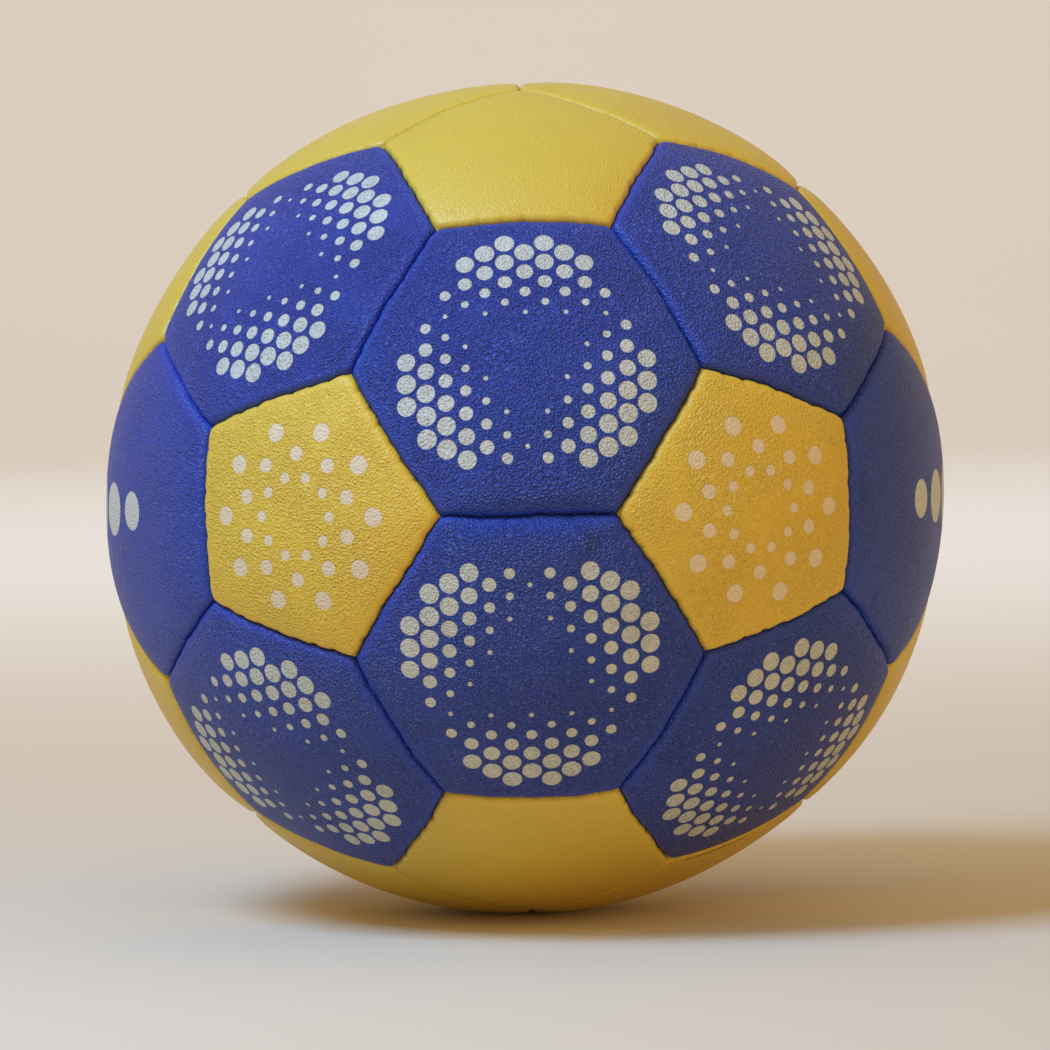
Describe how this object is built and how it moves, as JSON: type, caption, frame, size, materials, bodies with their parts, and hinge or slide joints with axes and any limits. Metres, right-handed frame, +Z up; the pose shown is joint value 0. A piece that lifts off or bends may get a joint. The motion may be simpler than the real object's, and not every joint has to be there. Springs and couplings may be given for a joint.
{
  "type": "handball",
  "caption": "Stitched handball: pentagon and hexagon cover panels with foam and cloth backing, thread in every seam, an air bladder and its inflation valve.",
  "frame": {"origin": "centre of the ball", "axes": "+Z up as in the picture, -Y towards the camera, +X to the picture's right; the valve is high at the back"},
  "size_m": [0.175, 0.175, 0.175],
  "materials": {
    "cover_blue": "soft pebble-grained synthetic leather, blue",
    "cover_yellow": "soft pebble-grained synthetic leather, yellow",
    "foam": "closed-cell foam",
    "lining": "woven cotton backing",
    "thread": "waxed polyester thread",
    "bladder": "smooth latex",
    "valve": "moulded rubber",
    "plug": "soft moulded rubber"
  },
  "bodies": {
    "root": {"pentagon_front_left": "cover_yellow", "pentagon_front_right": "cover_yellow", "pentagon_back_left": "cover_yellow", "pentagon_back_right": "cover_yellow", "pentagon_top_front": "cover_yellow", "pentagon_top_back": "cover_yellow", "pentagon_bottom_front": "cover_yellow", "pentagon_bottom_back": "cover_yellow", "pentagon_left_upper": "cover_yellow", "pentagon_left_lower": "cover_yellow", "pentagon_right_upper": "cover_yellow", "pentagon_right_lower": "cover_yellow", "hexagon_front_upper": "cover_blue", "hexagon_front_lower": "cover_blue", "hexagon_back_upper": "cover_blue", "hexagon_back_lower": "cover_blue", "hexagon_left_front": "cover_blue", "hexagon_left_back": "cover_blue", "hexagon_right_front": "cover_blue", "hexagon_right_back": "cover_blue", "hexagon_front_upper_left": "cover_blue", "hexagon_front_upper_right": "cover_blue", "hexagon_front_lower_left": "cover_blue", "hexagon_front_lower_right": "cover_blue", "hexagon_back_upper_left": "cover_blue", "hexagon_back_upper_right": "cover_blue", "hexagon_back_lower_left": "cover_blue", "hexagon_back_lower_right": "cover_blue", "hexagon_top_left": "cover_yellow", "hexagon_top_right": "cover_yellow", "hexagon_bottom_left": "cover_yellow", "hexagon_bottom_right": "cover_yellow", "foam_pentagons": "foam", "foam_hexagons": "foam", "lining_pentagons": "lining", "lining_hexagons": "lining", "seam_threads": "thread", "bladder": "bladder", "valve_body": "valve", "valve_plug": "plug"}
  },
  "joints": []
}
